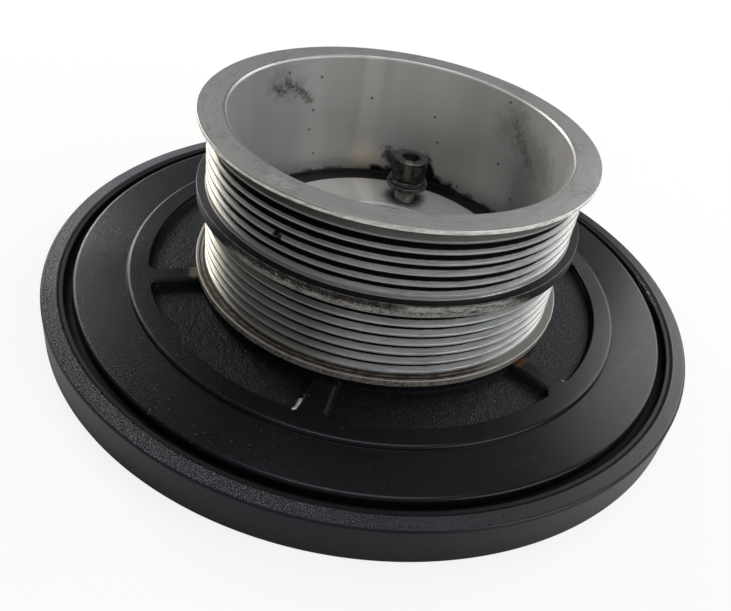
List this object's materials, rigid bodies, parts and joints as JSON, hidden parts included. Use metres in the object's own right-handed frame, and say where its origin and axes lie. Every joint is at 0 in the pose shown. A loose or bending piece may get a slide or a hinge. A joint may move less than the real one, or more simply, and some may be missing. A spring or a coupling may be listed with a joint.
{
  "type": "harmonic balancer",
  "caption": "Round engine vibration damper: spoked black disc, rubber-bonded outer ring and a turned steel cup pulley with two ribbed belt tracks.",
  "frame": {"origin": "centre of the mounting face, on the axis of rotation", "axes": "+Z along the axis of rotation, from the mounting face towards the open end of the pulley; +Y lies 6.6 degrees short of the hole that holds the screw, counted towards +X"},
  "size_m": [0.2248, 0.2248, 0.0714],
  "materials": {
    "hub_coat": "satin black coating on cast iron",
    "rubber": "matt black",
    "ring_coat": "satin black coating on cast iron",
    "pulley_steel": "turned, worn and greasy",
    "screw_steel": "oily dark steel",
    "washer_steel": "oily dark steel"
  },
  "bodies": {
    "root": {"damper_hub": "hub_coat", "rubber_ring": "rubber", "inertia_ring": "ring_coat", "belt_pulley": "pulley_steel", "cap_screw": "screw_steel", "spring_washer": "washer_steel", "flat_washer": "washer_steel"}
  },
  "joints": []
}
